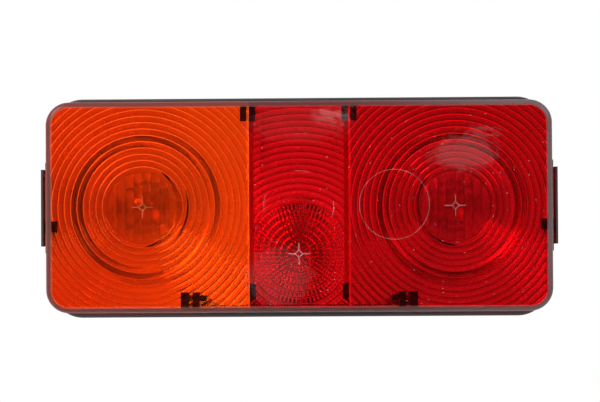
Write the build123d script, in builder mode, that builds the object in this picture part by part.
"""Rear lamp cluster: amber indicator, red tail and stop lamps in one snap-on lens on a black housing.

Millimetres. X runs across the lamp, Z is up and the lens faces -Y.
The mounting face lies on Y = 0, and every depth below is a distance forward of it.
"""

import math
import os

from build123d import *

os.makedirs("parts", exist_ok=True)

# Lens outline and walls
lens_width = 240.0
lens_height = 100.0
lens_corner_radius = 11.0
lens_edge_radius = 2.8
lens_wall = 2.4
lens_depth = 22.8
seal_thickness = 1.2

# Housing tray and flange
flange_front = 42.0
flange_thickness = 4.0
flange_lip = 2.8
flange_corner_radius = 15.0
flange_edge_radius = 1.0
housing_wall = 2.5
housing_draft = 3.0
floor_thickness = 3.5
spigot_height = 2.0
back_edge_radius = 2.0
back_recess = 1.5
back_rim = 6.7
back_corner_radius = 4.0
back_rib = 3.0
gusset_spacing = 34.0
gusset_thickness = 1.8
gusset_length = 25.0
gusset_set_back = 1.5
gussets_each_side = 3

# Clearance of pieces that fit together, and how far a cut runs past the face it opens
fit = 0.3
overcut = 1.0

# Partitions between the three chambers, the lens ribs that meet them, and the posts on the rim
partition_x = 22.4
partition_thickness = 2.0
post_gap = 0.4
post_root = 8.0
peg_gap = 1.2
peg_width = 3.0
peg_height = 7.1
peg_step = 0.9
foot_lift = 3.9
side_post_drop = 9.0
side_post_height = 5.2
side_post_width = 2.8
side_post_root = 0.5

# Optics on the inside of the lens
ring_pitch = 3.0
ring_depth = 1.0
ring_land = 0.1
ring_riser = 0.35
ring_bulge = 0.1
ring_margin = 1.0
flute_radius = 16.4
flute_count = 8
flute_depth = 0.3
tail_from_bottom = 27.6
optics_bury = 0.4
seam_strip = 1.2
seam_bead_radius = 0.5

# Latches at the two ends
latch_height = 36.6
latch_thickness = 1.8
latch_reach = 17.0
latch_root = 3.0
latch_lead = 0.8
lug_proud = 0.8
lug_root = 1.0
lug_length = 13.0
lug_height = 43.0
lug_chamfer = 0.5
lug_from_seal = 3.6
pocket_from_lug = 4.0
barb_depth = 0.9
barb_length = 4.0
barb_flat = 0.8
barb_lead = 0.6

# Reflectors
signal_inset = 46.0
dish_mouth_radius = 33.5
dish_floor_radius = 26.0
dish_depth = 25.0
dish_floor_fillet = 5.0
dish_hole_gap = 0.8
tail_side_rim = 2.7
tail_draft = 4.0
tail_corner_radius = 5.0
reflector_thickness = 1.5

# Signal bulbs and their sockets
cap_radius = 7.5
cap_proud = 0.6
cap_chamfer = 1.6
cap_taper = 1.4
button_radius = 2.2
button_height = 0.8
pin_radius = 1.0
pin_height = 10.4
pin_from_slot_end = 9.0
slot_clearance = 0.25
slot_turn = 40.0
socket_wall = 0.8
socket_foot_rim = 1.4
socket_length = 17.6
signal_glass_radius = 13.0
signal_neck_radius = 6.8
signal_glass_length = 33.0

# Tail bulb and its clips
festoon_radius = 5.0
festoon_length = 31.0
festoon_shoulder = 1.2
festoon_cap_radius = 3.8
festoon_cap_length = 5.0
festoon_tip_radius = 1.5
festoon_stand_off = 3.0
festoon_end_gap = 0.2
clip_foot = 8.0
clip_head = 3.0
clip_rivet_offset = 5.0
clip_slot_side = 0.5
clip_slot_height = 2.4

# Sheet-metal pieces on the floor
strip_thickness = 0.8
strip_width = 7.0
strip_end = 5.0
earth_overhang = 20.0
leaf_thickness = 0.5
leaf_width = 6.0
leaf_rise = 2.8
leaf_tip = 3.4
leaf_bend = 2.6
leaf_foot = 6.0
leaf_slant = 0.2
leaf_tail = 3.6
leaf_rivet_gap = 1.1
blade_height = 9.0
rivet_radius = 1.5
rivet_head_radius = 2.3
rivet_head_height = 1.0
rivet_head_chamfer = 0.6
rivet_clearance = 0.1

# Mounting studs and cable entry
stud_from_lamp = 24.0
stud_radius = 3.0
stud_neck_radius = 3.4
stud_clearance = 0.2
stud_boss_wall = 0.9
stud_boss_rim = 0.6
stud_pad_radius = 11.0
stud_length = 20.0
stud_tip_chamfer = 0.8
stud_head_flats = 10.0
stud_head_height = 4.0
grommet_z = 20.0
cable_radius = 3.5
grommet_neck_radius = 5.5
grommet_flange_radius = 8.0
grommet_clearance = 0.1
grommet_tail = 2.5
cable_gap_width = 12.0
cable_gap_height = 8.0

# Clear strip in the skirt's underside, and the clips beside it
plate_window_width = 84.0
plate_flange = 1.4
plate_overlap = 1.4
plate_margin = 1.0
plate_corner_radius = 2.0
clip_gap = 1.7
clip_post = 3.4
clip_stop = 3.8
clip_bar = 3.2
clip_bar_height = 2.8
clip_height = 7.2
clip_base_height = 3.0

# Places worked out from the sizes above
lens_rear = flange_front + seal_thickness
lens_front = lens_rear + lens_depth
lens_inside = lens_front - lens_wall
ring_tip = lens_inside - ring_depth
inside_half_width = lens_width / 2 - lens_wall
inside_half_height = lens_height / 2 - lens_wall
spigot_front = flange_front + spigot_height
body_width = lens_width - 2 * (lens_wall + fit)
body_height = lens_height - 2 * (lens_wall + fit)
body_corner_radius = lens_corner_radius - lens_wall - fit
colour_split = -(partition_x + partition_thickness / 2)
reflector_front = spigot_front + reflector_thickness
dish_floor = reflector_front - dish_depth
metal_seat = floor_thickness + strip_thickness
signal_x = lens_width / 2 - signal_inset
tail_z = tail_from_bottom - lens_height / 2
stud_x = signal_x - stud_from_lamp
lug_rear = lens_rear + lug_from_seal
pocket_rear = lug_rear + pocket_from_lug
plate_window_depth = ring_tip - reflector_front - 2 * (plate_overlap + plate_margin)
plate_window_middle = (reflector_front + ring_tip) / 2
socket_bore_radius = cap_radius + fit
socket_radius = socket_bore_radius + socket_wall
socket_foot_radius = socket_radius + socket_foot_rim
socket_rivet_offset = socket_radius + rivet_head_radius + fit
leaf_rivet_offset = socket_foot_radius + rivet_head_radius + leaf_rivet_gap
earth_z = -socket_rivet_offset
festoon_axis = dish_floor + festoon_radius + festoon_stand_off
tail_top_clip_z = tail_z + festoon_length / 2 + festoon_end_gap
tail_low_clip_z = tail_z - festoon_length / 2 - festoon_end_gap

# Where rivets and studs go through the floor
socket_rivets = [(-signal_x, earth_z), (-signal_x, -earth_z), (signal_x, earth_z), (signal_x, -earth_z)]
leaf_rivets = [(-signal_x - leaf_rivet_offset, 0), (signal_x + leaf_rivet_offset, 0)]
clip_rivets = [(0, tail_top_clip_z - clip_rivet_offset), (0, tail_low_clip_z + clip_rivet_offset)]
studs = [(-stud_x, 0), (stud_x, 0)]


def facing(forward):
    """Plane across the lamp, facing the viewer, this far forward of the mounting face."""
    return Plane.XZ.offset(forward)


def axial(x, z):
    """Plane through a lamp's axis: its x is the radius and its y runs forward."""
    return Plane(origin=(x, 0, z), x_dir=(1, 0, 0), z_dir=(0, 0, -1))


def forward_axis(x, z):
    """The axis of a lamp, pointing forward."""
    return Axis((x, 0, z), (0, -1, 0))


def half_height_of_wall(forward):
    """Middle of the housing's long walls, which lean in towards the back."""
    lean = math.tan(math.radians(housing_draft))
    return body_height / 2 - housing_wall / 2 - (spigot_front - forward) * lean


# Black posts that stand inside the skirt and show through the lens
post_front = ring_tip - post_gap
post_rear = spigot_front - post_root
clip_bar_end = plate_window_width / 2 + plate_overlap + 2 * fit
clip_inner = (clip_bar_end + clip_bar, clip_bar_end + clip_bar + clip_post)
clip_outer = (clip_inner[1] + clip_gap, clip_inner[1] + clip_gap + clip_stop)
clip_top = clip_height - inside_half_height
clip_base = clip_base_height - inside_half_height
peg_start = partition_x + partition_thickness / 2 + peg_gap
peg_outer = (peg_start, peg_start + peg_width)
peg_inner = (partition_x - partition_thickness / 2 - peg_step, partition_x + partition_thickness / 2)
peg_bottom = inside_half_height - peg_height
foot_span = (foot_lift - inside_half_height, foot_lift + peg_height - inside_half_height)
side_post = (-side_post_drop - side_post_height / 2, -side_post_drop + side_post_height / 2)


# Rings fill their windows and end inside the skirt's wall, with its rounded corners
field_half_width = inside_half_width + optics_bury
field_half_height = inside_half_height + optics_bury
field_corner_radius = lens_corner_radius - lens_wall + optics_bury


def fresnel_rings(x, z, first_radius, left, right):
    """Rings about a lamp's axis, each a bulged face and a narrow riser, cut off at the window's edges."""
    far_x = max(abs(left - x), abs(right - x))
    far_z = field_half_height + abs(z)
    rings = math.ceil((math.hypot(far_x, far_z) - first_radius) / ring_pitch)
    last_radius = first_radius + rings * ring_pitch
    base = lens_inside + optics_bury
    valley = lens_inside - ring_land
    crest = (ring_tip + valley) / 2 - ring_bulge
    with BuildPart() as optics:
        with BuildSketch(axial(x, z)):
            with BuildLine():
                for ring in range(rings):
                    inner = first_radius + ring * ring_pitch
                    foot = inner + ring_pitch - ring_riser
                    ThreePointArc((inner, ring_tip), ((inner + foot) / 2, crest), (foot, valley))
                    Line((foot, valley), (inner + ring_pitch, ring_tip))
                Polyline(
                    (last_radius, ring_tip),
                    (last_radius, base),
                    (first_radius, base),
                    (first_radius, ring_tip),
                )
            make_face()
        revolve(axis=forward_axis(x, z))
        with BuildSketch(facing(ring_tip - overcut)):
            RectangleRounded(2 * field_half_width, 2 * field_half_height, field_corner_radius)
            with Locations(((left + right) / 2, 0)):
                Rectangle(right - left, lens_height, mode=Mode.INTERSECT)
        extrude(amount=ring_depth + optics_bury + 2 * overcut, mode=Mode.INTERSECT)
    return optics


def fluted_disc(x):
    """Upright round-topped flutes in the middle of a signal window."""
    flute_width = 2 * flute_radius / flute_count
    base = lens_inside + optics_bury
    valley = lens_inside - ring_land
    with BuildPart() as optics:
        with BuildSketch(Plane.XY.offset(-flute_radius)):
            with BuildLine():
                for flute in range(flute_count):
                    left = x - flute_radius + flute * flute_width
                    ThreePointArc(
                        (left, -valley),
                        (left + flute_width / 2, -(valley - flute_depth)),
                        (left + flute_width, -valley),
                    )
                left = x - flute_radius
                right = x + flute_radius
                Polyline((right, -valley), (right, -base), (left, -base), (left, -valley))
            make_face()
        extrude(amount=2 * flute_radius)
        with BuildSketch(facing(valley - flute_depth - overcut)):
            with Locations((x, 0)):
                Circle(flute_radius)
        extrude(amount=base - valley + flute_depth + 2 * overcut, mode=Mode.INTERSECT)
    return optics


def seam_bead(x):
    """Upright half-round bead in the plain strip between two windows."""
    with BuildPart() as optics:
        with BuildSketch(Plane.XY.offset(-inside_half_height)):
            with Locations((x, -lens_inside)):
                Circle(seam_bead_radius)
        extrude(amount=2 * inside_half_height)
    return optics


# Lens: one shell with its optics, moulded in two colours that meet at the left partition
rib_length = peg_bottom - foot_span[1] - 2 * fit
rib_middle = (peg_bottom + foot_span[1]) / 2
ring_start = seam_strip - colour_split
ring_end = inside_half_width - ring_margin
optics_pieces = [
    fresnel_rings(-signal_x, 0, flute_radius, -ring_end, -ring_start),
    fresnel_rings(0, tail_z, ring_pitch, colour_split, -colour_split),
    fresnel_rings(signal_x, 0, flute_radius, ring_start, ring_end),
    fluted_disc(-signal_x),
    fluted_disc(signal_x),
    seam_bead(colour_split - seam_strip / 2),
    seam_bead(seam_strip / 2 - colour_split),
]

with BuildPart() as lens:
    with BuildSketch(facing(lens_rear)):
        RectangleRounded(lens_width, lens_height, lens_corner_radius)
    extrude(amount=lens_depth)
    fillet(lens.faces().sort_by(Axis.Y)[0].edges(), lens_edge_radius)
    with BuildSketch(facing(lens_rear)):
        RectangleRounded(
            lens_width - 2 * lens_wall, lens_height - 2 * lens_wall, lens_corner_radius - lens_wall
        )
    extrude(amount=lens_depth - lens_wall, mode=Mode.SUBTRACT)
    for side in (-1, 1):
        with BuildSketch(facing(lug_rear)):
            with Locations((side * (lens_width + lug_proud - lug_root) / 2, 0)):
                Rectangle(lug_proud + lug_root, lug_height)
        lug = extrude(amount=lug_length)
        outer_face = lug.faces().sort_by(Axis.X)[-1 if side > 0 else 0]
        chamfer(outer_face.edges().filter_by(Axis.Z), lug_chamfer)
        with BuildSketch(facing(pocket_rear)):
            with Locations((side * (lens_width / 2 + lug_proud), 0)):
                Rectangle(2 * (barb_depth + fit), latch_height + 2 * fit)
        extrude(amount=barb_length + 2 * fit, mode=Mode.SUBTRACT)
    with BuildSketch(Plane.XY.offset(-lens_height / 2 - overcut)):
        with Locations((0, -plate_window_middle)):
            RectangleRounded(plate_window_width, plate_window_depth, plate_corner_radius)
    extrude(amount=lens_wall + 2 * overcut, mode=Mode.SUBTRACT)
    with BuildSketch(facing(reflector_front + fit)):
        with Locations((-partition_x, rib_middle), (partition_x, rib_middle)):
            Rectangle(partition_thickness, rib_length)
    extrude(amount=lens_inside - reflector_front - fit)
    for optics in optics_pieces:
        add(optics.part)

with BuildPart() as lens_amber:
    add(lens.part)
    split(bisect_by=Plane.YZ.offset(colour_split), keep=Keep.BOTTOM)

with BuildPart() as lens_red:
    add(lens.part)
    split(bisect_by=Plane.YZ.offset(colour_split), keep=Keep.TOP)

# Clear strip in the skirt's underside, with a flange on the inside
plug_corner_radius = plate_corner_radius - fit / 2

with BuildPart() as plate_light_window:
    with BuildSketch(Plane.XY.offset(-lens_height / 2)):
        with Locations((0, -plate_window_middle)):
            RectangleRounded(plate_window_width - fit, plate_window_depth - fit, plug_corner_radius)
    extrude(amount=lens_wall)
    with BuildSketch(Plane.XY.offset(-inside_half_height)):
        with Locations((0, -plate_window_middle)):
            Rectangle(plate_window_width + 2 * plate_overlap, plate_window_depth + 2 * plate_overlap)
    extrude(amount=plate_flange)

# Flat rubber ring under the skirt's edge
with BuildPart() as lens_seal:
    with BuildSketch(facing(flange_front)):
        RectangleRounded(lens_width - 2 * fit, lens_height - 2 * fit, lens_corner_radius - fit)
        RectangleRounded(
            body_width + fit, body_height + fit, body_corner_radius + fit / 2, mode=Mode.SUBTRACT
        )
    extrude(amount=seal_thickness)


def box_between(x_range, z_range):
    """Rectangle given by where its sides are, mirrored to the lamp's other half."""
    width = x_range[1] - x_range[0]
    middle = (x_range[0] + x_range[1]) / 2
    height = z_range[1] - z_range[0]
    with Locations((-middle, (z_range[0] + z_range[1]) / 2), (middle, (z_range[0] + z_range[1]) / 2)):
        Rectangle(width, height)


# Housing: a drafted tray with a flange, gussets under the flange and a recessed back
stud_boss_radius = (stud_head_flats / 2 + stud_clearance) / math.cos(math.pi / 6) + stud_boss_wall
flange_rear = flange_front - flange_thickness
gusset_front_z = lens_height / 2 + flange_lip - gusset_set_back
gusset_end = flange_rear - gusset_length
back_lean = spigot_front * math.tan(math.radians(housing_draft))
back_margin = 2 * (back_rim + back_lean)
latch_outer = lens_width / 2 + lug_proud + fit + latch_thickness
latch_inner = latch_outer - latch_thickness
latch_start = lens_width / 2 - latch_root
latch_tip = flange_front + latch_reach
hook = pocket_rear + fit
hole_length = 3 * floor_thickness

with BuildPart() as flange:
    with BuildSketch(facing(flange_rear)):
        RectangleRounded(lens_width, lens_height + 2 * flange_lip, flange_corner_radius)
    extrude(amount=flange_thickness)
    fillet(flange.edges().filter_by(Axis.Y, reverse=True), flange_edge_radius)

with BuildPart() as housing:
    with BuildSketch(facing(spigot_front)):
        RectangleRounded(body_width, body_height, body_corner_radius)
    extrude(amount=-spigot_front, taper=housing_draft)
    fillet(housing.faces().sort_by(Axis.Y)[-1].edges(), back_edge_radius)
    add(flange.part)
    for place in range(-gussets_each_side, gussets_each_side + 1):
        for end in (-1, 1):
            with BuildSketch(Plane.YZ.offset(place * gusset_spacing)):
                with BuildLine():
                    Polyline(
                        (-flange_rear, end * gusset_front_z),
                        (-flange_rear, end * (body_height / 2 - housing_wall)),
                        (-gusset_end, end * half_height_of_wall(gusset_end)),
                        close=True,
                    )
                make_face()
            extrude(amount=gusset_thickness / 2, both=True)
    with BuildSketch(facing(spigot_front)):
        RectangleRounded(
            body_width - 2 * housing_wall, body_height - 2 * housing_wall, body_corner_radius - housing_wall
        )
    extrude(amount=-(spigot_front - floor_thickness), taper=housing_draft, mode=Mode.SUBTRACT)
    for side in (-1, 1):
        with BuildSketch(Plane.YZ.offset(side * partition_x)):
            with BuildLine():
                Polyline(
                    (-floor_thickness, half_height_of_wall(floor_thickness)),
                    (-spigot_front, half_height_of_wall(spigot_front)),
                    (-spigot_front, -half_height_of_wall(spigot_front)),
                    (-floor_thickness, -half_height_of_wall(floor_thickness)),
                    close=True,
                )
            make_face()
        extrude(amount=partition_thickness / 2, both=True)
    with BuildSketch(facing(post_rear)):
        box_between(peg_outer, (peg_bottom, half_height_of_wall(post_rear)))
        box_between(peg_inner, (peg_bottom, half_height_of_wall(post_rear)))
        box_between(peg_inner, foot_span)
        box_between(clip_outer, (-half_height_of_wall(post_rear), clip_top))
        box_between(clip_inner, (-half_height_of_wall(post_rear), clip_top))
        box_between((clip_inner[0], clip_outer[1]), (-half_height_of_wall(post_rear), clip_base))
        box_between((clip_bar_end, clip_inner[1]), (clip_base, clip_base + clip_bar_height))
    extrude(amount=post_front - post_rear)
    with BuildSketch(facing(spigot_front - side_post_root)):
        box_between((body_width / 2 - side_post_width, body_width / 2), side_post)
    extrude(amount=post_front - spigot_front + side_post_root)
    for side in (-1, 1):
        with BuildSketch(Plane.XY.offset(-latch_height / 2)):
            with BuildLine():
                Polyline(
                    (side * latch_start, -flange_rear),
                    (side * latch_outer, -flange_rear),
                    (side * latch_outer, -latch_tip),
                    (side * (latch_inner + latch_lead), -latch_tip),
                    (side * latch_inner, -(hook + barb_length - barb_lead)),
                    (side * (latch_inner - barb_depth), -(hook + barb_flat)),
                    (side * (latch_inner - barb_depth), -hook),
                    (side * latch_inner, -hook),
                    (side * latch_inner, -flange_front),
                    (side * latch_start, -flange_front),
                    close=True,
                )
            make_face()
        extrude(amount=latch_height)
    with BuildSketch(facing(floor_thickness)):
        with Locations(*studs):
            Circle(stud_boss_radius)
            RegularPolygon(stud_head_flats / 2 + stud_clearance, 6, major_radius=False, mode=Mode.SUBTRACT)
    extrude(amount=stud_head_height + stud_boss_rim)
    with BuildSketch(facing(floor_thickness)):
        with Locations((-signal_x, -earth_z), (signal_x, -earth_z)):
            Rectangle(strip_width, strip_width)
    extrude(amount=strip_thickness)
    with BuildSketch(facing(0)):
        RectangleRounded(body_width - back_margin, body_height - back_margin, back_corner_radius)
        with Locations(*studs):
            Circle(stud_pad_radius, mode=Mode.SUBTRACT)
            Rectangle(back_rib, body_height, mode=Mode.SUBTRACT)
    extrude(amount=back_recess, mode=Mode.SUBTRACT)
    with Locations(facing(0)):
        with Locations(*studs):
            Cylinder(stud_neck_radius + stud_clearance, hole_length, mode=Mode.SUBTRACT)
        with Locations(*socket_rivets, *leaf_rivets, *clip_rivets):
            Cylinder(rivet_radius + rivet_clearance, hole_length, mode=Mode.SUBTRACT)
        with Locations((0, grommet_z)):
            Cylinder(grommet_neck_radius + grommet_clearance, hole_length, mode=Mode.SUBTRACT)
        for side in (-1, 1):
            with Locations((side * partition_x, earth_z, floor_thickness + strip_thickness)):
                Box(2 * partition_thickness, strip_width + 2 * fit, 2 * strip_thickness, mode=Mode.SUBTRACT)
            with Locations((side * partition_x, grommet_z, floor_thickness + cable_gap_height / 2)):
                Box(2 * partition_thickness, cable_gap_width, cable_gap_height, mode=Mode.SUBTRACT)


def notch(x_range, z_range):
    """Clearance in a reflector's flange around a post of the housing."""
    return (x_range[0] - fit, x_range[1] + fit), (z_range[0] - fit, z_range[1] + fit)


# Reflectors lie on the top edge of the housing's walls
reflector_edge = partition_x + partition_thickness / 2 + fit
dish_hole_radius = socket_radius + dish_hole_gap

with BuildPart() as stop_reflector:
    with BuildSketch(facing(spigot_front)):
        RectangleRounded(body_width - fit, body_height - fit, body_corner_radius)
        with Locations((reflector_edge + lens_width / 2, 0)):
            Rectangle(lens_width, lens_height, mode=Mode.INTERSECT)
        with Locations((signal_x, 0)):
            Circle(dish_mouth_radius, mode=Mode.SUBTRACT)
        for x_range, z_range in (
            notch(peg_outer, (peg_bottom, lens_height)),
            notch(clip_inner, (-lens_height, clip_top)),
            notch(clip_outer, (-lens_height, clip_top)),
            notch((clip_inner[0], clip_outer[1]), (-lens_height, clip_base)),
            notch((clip_bar_end, clip_inner[1]), (-lens_height, clip_base + clip_bar_height)),
            notch((body_width / 2 - side_post_width, lens_width), side_post),
        ):
            with Locations((sum(x_range) / 2, sum(z_range) / 2)):
                Rectangle(x_range[1] - x_range[0], z_range[1] - z_range[0], mode=Mode.SUBTRACT)
    extrude(amount=reflector_thickness)
    with BuildSketch(axial(signal_x, 0)):
        with BuildLine():
            Polyline(
                (dish_mouth_radius, reflector_front),
                (dish_floor_radius, dish_floor),
                (dish_hole_radius, dish_floor),
                (dish_hole_radius, dish_floor - reflector_thickness),
                (dish_floor_radius + reflector_thickness, dish_floor - reflector_thickness),
                (dish_mouth_radius + reflector_thickness, spigot_front),
                (dish_mouth_radius + reflector_thickness, reflector_front),
                close=True,
            )
        make_face()
    revolve(axis=forward_axis(signal_x, 0))
    floor_circles = stop_reflector.edges().filter_by(GeomType.CIRCLE)
    fillet(floor_circles.filter_by(lambda edge: edge.radius == dish_floor_radius), dish_floor_fillet)

with BuildPart() as indicator_reflector:
    mirror(stop_reflector.part, about=Plane.YZ)

tail_half_width = peg_inner[0] - fit
tail_mouth_width = 2 * (tail_half_width - tail_side_rim)
tail_mouth_height = body_height - 2 * (housing_wall + reflector_thickness + fit)
tray_width = tail_mouth_width + 2 * reflector_thickness
tray_height = tail_mouth_height + 2 * reflector_thickness
tray_corner_radius = tail_corner_radius + reflector_thickness

with BuildPart() as tail_reflector:
    with BuildSketch(facing(spigot_front)):
        Rectangle(2 * peg_inner[1], body_height - fit)
        for x_range, z_range in (notch(peg_inner, (peg_bottom, lens_height)), notch(peg_inner, foot_span)):
            middle_z = sum(z_range) / 2
            with Locations((-sum(x_range) / 2, middle_z), (sum(x_range) / 2, middle_z)):
                Rectangle(x_range[1] - x_range[0], z_range[1] - z_range[0], mode=Mode.SUBTRACT)
    extrude(amount=reflector_thickness)
    with BuildSketch(facing(reflector_front)):
        RectangleRounded(tray_width, tray_height, tray_corner_radius)
    extrude(amount=-(dish_depth + reflector_thickness), taper=tail_draft)
    with BuildSketch(facing(reflector_front)):
        RectangleRounded(tail_mouth_width, tail_mouth_height, tail_corner_radius)
    extrude(amount=-dish_depth, taper=tail_draft, mode=Mode.SUBTRACT)
    with BuildSketch(facing(dish_floor - reflector_thickness - overcut)):
        with Locations((0, tail_top_clip_z), (0, tail_low_clip_z)):
            Rectangle(leaf_width + 2 * clip_slot_side, clip_slot_height)
    extrude(amount=reflector_thickness + 2 * overcut, mode=Mode.SUBTRACT)


# Bayonet sockets: a sleeve with two hooked slots on a riveted foot
slot_width = 2 * (pin_radius + slot_clearance)
pin_forward = metal_seat + pin_height
socket_mouth = metal_seat + socket_length
slot_inner = socket_bore_radius - overcut
slot_outer = socket_radius + overcut


def turned_about(x, degrees, forward):
    """Plane across a signal lamp's axis, turned about that axis."""
    return Plane(facing(forward).location * Location((x, 0, 0), (0, 0, 1), degrees))


def bayonet_socket(x):
    """Sleeve, foot and slots about the lamp axis at this x."""
    turned = math.radians(slot_turn)
    with BuildPart() as socket:
        with BuildSketch(facing(metal_seat)):
            with Locations((x, 0)):
                Circle(socket_foot_radius)
                SlotCenterToCenter(2 * socket_rivet_offset, strip_width, rotation=90)
        extrude(amount=strip_thickness)
        with BuildSketch(facing(metal_seat)):
            with Locations((x, 0)):
                Circle(socket_radius)
        extrude(amount=socket_length)
        with BuildSketch(facing(metal_seat - overcut)):
            with Locations((x, 0)):
                Circle(socket_bore_radius)
            with Locations((x, socket_rivet_offset), (x, -socket_rivet_offset)):
                Circle(rivet_radius + rivet_clearance)
        extrude(amount=socket_length + 2 * overcut, mode=Mode.SUBTRACT)
        for half_turn in (0, 180):
            slot_plane = turned_about(x, half_turn, pin_forward - slot_width / 2)
            with BuildSketch(slot_plane):
                with BuildLine():
                    Line((slot_inner, 0), (slot_outer, 0))
                    CenterArc((0, 0), slot_outer, 0, slot_turn)
                    Line(
                        (slot_outer * math.cos(turned), slot_outer * math.sin(turned)),
                        (slot_inner * math.cos(turned), slot_inner * math.sin(turned)),
                    )
                    CenterArc((0, 0), slot_inner, slot_turn, -slot_turn)
                make_face()
            extrude(amount=slot_width, mode=Mode.SUBTRACT)
            with BuildSketch(slot_plane):
                with Locations(((slot_inner + slot_outer) / 2, 0)):
                    Rectangle(slot_outer - slot_inner, slot_width)
            extrude(amount=socket_mouth - pin_forward + slot_width, mode=Mode.SUBTRACT)
    return socket


indicator_socket = bayonet_socket(-signal_x)
stop_socket = bayonet_socket(signal_x)

# Signal bulbs: a bayonet cap with two pins and a pear-shaped glass
contact_face = floor_thickness + leaf_rise + leaf_thickness
cap_base = contact_face + button_height
cap_top = socket_mouth + cap_proud
pin_angle = slot_turn - pin_from_slot_end


def bulb_cap(x):
    """Turned cap with its contact button and bayonet pins."""
    with BuildPart() as cap:
        with BuildSketch(axial(x, 0)):
            with BuildLine():
                Polyline(
                    (0, contact_face),
                    (button_radius, contact_face),
                    (button_radius, cap_base),
                    (cap_radius - cap_chamfer, cap_base),
                    (cap_radius, cap_base + cap_taper),
                    (cap_radius, cap_top),
                    (0, cap_top),
                    close=True,
                )
            make_face()
        revolve(axis=forward_axis(x, 0))
        for half_turn in (0, 180):
            pin = turned_about(x, half_turn + pin_angle, pin_forward)
            with BuildSketch(Plane(origin=pin.origin, x_dir=pin.z_dir, z_dir=pin.x_dir)):
                Circle(pin_radius)
            extrude(amount=socket_radius + fit)
    return cap


def signal_glass(x):
    """Pear shape: a cone from the cap that runs tangent into a ball."""
    centre = cap_top + signal_glass_length - signal_glass_radius
    tip = centre + signal_glass_radius
    slant = math.hypot(signal_neck_radius, centre - cap_top)
    tangent = math.acos(signal_glass_radius / slant) - math.atan2(centre - cap_top, signal_neck_radius)
    shoulder = (signal_glass_radius * math.cos(tangent), centre + signal_glass_radius * math.sin(tangent))
    with BuildPart() as glass:
        with BuildSketch(axial(x, 0)):
            with BuildLine():
                Polyline((0, tip), (0, cap_top), (signal_neck_radius, cap_top), shoulder)
                RadiusArc(shoulder, (0, tip), -signal_glass_radius)
            make_face()
        revolve(axis=forward_axis(x, 0))
    return glass


indicator_bulb_cap = bulb_cap(-signal_x)
stop_bulb_cap = bulb_cap(signal_x)
indicator_bulb_glass = signal_glass(-signal_x)
stop_bulb_glass = signal_glass(signal_x)


# Live contact leaves under the bulbs, with a blade for the cable at the far end
def contact_leaf(side):
    """Bent strip: up under the bulb, down to its rivet, and up again as the blade."""
    low = floor_thickness
    high = floor_thickness + leaf_rise
    end = leaf_rivet_offset + leaf_tail
    outline = [
        (-leaf_tip, high),
        (leaf_bend, high),
        (leaf_foot, low),
        (end, low),
        (end, low + blade_height),
        (end - leaf_thickness, low + blade_height),
        (end - leaf_thickness, low + leaf_thickness),
        (leaf_foot + leaf_slant, low + leaf_thickness),
        (leaf_bend + leaf_slant, high + leaf_thickness),
        (-leaf_tip, high + leaf_thickness),
    ]
    with BuildPart() as leaf:
        with BuildSketch(Plane.XY.offset(-leaf_width / 2)):
            with BuildLine():
                Polyline(*[(side * (signal_x + x), -forward) for x, forward in outline], close=True)
            make_face()
        extrude(amount=leaf_width)
        with BuildSketch(facing(floor_thickness - overcut)):
            with Locations((side * (signal_x + leaf_rivet_offset), 0)):
                Circle(rivet_radius + rivet_clearance)
        extrude(amount=leaf_thickness + 2 * overcut, mode=Mode.SUBTRACT)
    return leaf


indicator_contact = contact_leaf(-1)
stop_contact = contact_leaf(1)

# Earth strip along the floor, under both sockets and the upper festoon clip
earth_left = -signal_x - strip_end
earth_right = signal_x + earth_overhang

with BuildPart() as earth_strip:
    with BuildSketch(facing(floor_thickness)):
        with Locations(((earth_left + earth_right) / 2, earth_z)):
            Rectangle(earth_right - earth_left, strip_width)
    extrude(amount=strip_thickness)
    with BuildSketch(facing(floor_thickness)):
        with Locations((earth_right - strip_thickness / 2, earth_z)):
            Rectangle(strip_thickness, strip_width)
    extrude(amount=blade_height)
    with BuildSketch(facing(floor_thickness - overcut)):
        with Locations((-signal_x, earth_z), clip_rivets[0], (signal_x, earth_z)):
            Circle(rivet_radius + rivet_clearance)
    extrude(amount=strip_thickness + 2 * overcut, mode=Mode.SUBTRACT)


# Festoon clips: upright spring strips with a hole for the bulb's pointed end
def festoon_clip(z, inward, seat):
    """Angle of spring strip on its seat, its foot turned towards the bulb's middle."""
    head = festoon_axis + clip_head
    with BuildPart() as clip:
        with BuildSketch(Plane.YZ):
            with BuildLine():
                Polyline(
                    (-seat, z + inward * clip_foot),
                    (-seat, z),
                    (-head, z),
                    (-head, z + inward * leaf_thickness),
                    (-(seat + leaf_thickness), z + inward * leaf_thickness),
                    (-(seat + leaf_thickness), z + inward * clip_foot),
                    close=True,
                )
            make_face()
        extrude(amount=leaf_width / 2, both=True)
        with BuildSketch(Plane.XY.offset(z)):
            with Locations((0, -festoon_axis)):
                Circle(festoon_tip_radius + fit)
        extrude(amount=overcut, both=True, mode=Mode.SUBTRACT)
        with BuildSketch(facing(seat)):
            with Locations((0, z + inward * clip_rivet_offset)):
                Circle(rivet_radius + rivet_clearance)
        extrude(amount=overcut, both=True, mode=Mode.SUBTRACT)
    return clip


tail_earth_clip = festoon_clip(tail_top_clip_z, -1, metal_seat)
tail_live_clip = festoon_clip(tail_low_clip_z, 1, floor_thickness)

# Festoon bulb: a glass tube between two pointed caps
festoon_glass_half = festoon_length / 2 - festoon_cap_length
festoon_line = Axis((0, -festoon_axis, 0), (0, 0, 1))

with BuildPart() as tail_bulb_glass:
    with BuildSketch(Plane.XY.offset(tail_z - festoon_glass_half)):
        with Locations((0, -festoon_axis)):
            Circle(festoon_radius)
    extrude(amount=2 * festoon_glass_half)
    chamfer(tail_bulb_glass.edges().filter_by(GeomType.CIRCLE), festoon_shoulder)

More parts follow.
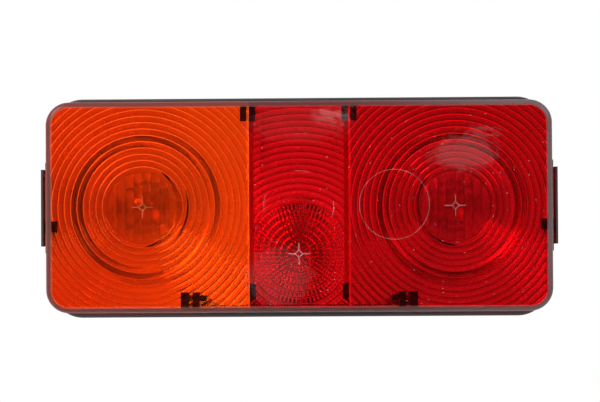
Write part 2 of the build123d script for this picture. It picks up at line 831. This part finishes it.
with BuildPart() as tail_bulb_caps:
    for end in (-1, 1):
        root = tail_z + end * festoon_glass_half
        tip = tail_z + end * festoon_length / 2
        with BuildSketch(Plane.YZ):
            with BuildLine():
                Polyline(
                    (-festoon_axis, root),
                    (-festoon_axis - festoon_cap_radius, root),
                    (-festoon_axis - festoon_cap_radius, root + end * festoon_cap_length / 2),
                    (-festoon_axis - festoon_tip_radius, tip - end * festoon_cap_length / 4),
                    (-festoon_axis - festoon_tip_radius, tip),
                    (-festoon_axis, tip),
                    close=True,
                )
            make_face()
        revolve(axis=festoon_line)

# Rivets: heads on both sides of what they hold
rivets_and_grips = [(place, metal_seat + strip_thickness) for place in socket_rivets]
rivets_and_grips += [(place, floor_thickness + leaf_thickness) for place in leaf_rivets]
rivets_and_grips.append((clip_rivets[0], metal_seat + leaf_thickness))
rivets_and_grips.append((clip_rivets[1], floor_thickness + leaf_thickness))

with BuildPart() as rivets:
    for (x, z), grip in rivets_and_grips:
        with BuildSketch(axial(x, z)):
            with BuildLine():
                Polyline(
                    (0, back_recess - rivet_head_height),
                    (rivet_head_radius, back_recess - rivet_head_height),
                    (rivet_head_radius, back_recess),
                    (rivet_radius, back_recess),
                    (rivet_radius, grip),
                    (rivet_head_radius, grip),
                    (rivet_head_radius - rivet_head_chamfer, grip + rivet_head_height),
                    (0, grip + rivet_head_height),
                    close=True,
                )
            make_face()
        revolve(axis=forward_axis(x, z))

# Studs: hexagon heads in the housing's pockets, a plain neck in the floor and a thread out of the back
with BuildPart() as mounting_studs:
    with BuildSketch(facing(floor_thickness)):
        with Locations(*studs):
            RegularPolygon(stud_head_flats / 2, 6, major_radius=False)
    extrude(amount=stud_head_height)
    with BuildSketch(facing(0)):
        with Locations(*studs):
            Circle(stud_neck_radius)
    extrude(amount=floor_thickness)
    with BuildSketch(facing(0)):
        with Locations(*studs):
            Circle(stud_radius)
    extrude(amount=-stud_length)
    chamfer(mounting_studs.faces().sort_by(Axis.Y)[-2:].edges(), stud_tip_chamfer)

# Rubber bush for the cable, gripping the edge of its hole
with BuildPart() as cable_grommet:
    with BuildSketch(axial(0, grommet_z)):
        with BuildLine():
            Polyline(
                (cable_radius, 0),
                (grommet_flange_radius, 0),
                (grommet_flange_radius, back_recess),
                (grommet_neck_radius, back_recess),
                (grommet_neck_radius, floor_thickness),
                (grommet_flange_radius, floor_thickness),
                (grommet_neck_radius, floor_thickness + grommet_tail),
                (cable_radius, floor_thickness + grommet_tail),
                close=True,
            )
        make_face()
    revolve(axis=forward_axis(0, grommet_z))

pieces = {
    "housing": housing,
    "lens_red": lens_red,
    "lens_amber": lens_amber,
    "plate_light_window": plate_light_window,
    "lens_seal": lens_seal,
    "indicator_reflector": indicator_reflector,
    "stop_reflector": stop_reflector,
    "tail_reflector": tail_reflector,
    "indicator_bulb_glass": indicator_bulb_glass,
    "indicator_bulb_cap": indicator_bulb_cap,
    "stop_bulb_glass": stop_bulb_glass,
    "stop_bulb_cap": stop_bulb_cap,
    "tail_bulb_glass": tail_bulb_glass,
    "tail_bulb_caps": tail_bulb_caps,
    "indicator_socket": indicator_socket,
    "stop_socket": stop_socket,
    "indicator_contact": indicator_contact,
    "stop_contact": stop_contact,
    "tail_earth_clip": tail_earth_clip,
    "tail_live_clip": tail_live_clip,
    "earth_strip": earth_strip,
    "rivets": rivets,
    "mounting_studs": mounting_studs,
    "cable_grommet": cable_grommet,
}

for name, piece in pieces.items():
    piece.part.label = name
    export_step(piece.part, f"parts/{name}.step")
    print(name, len(piece.part.solids()), "solids", round(piece.part.volume / 1000, 2), "cm3")
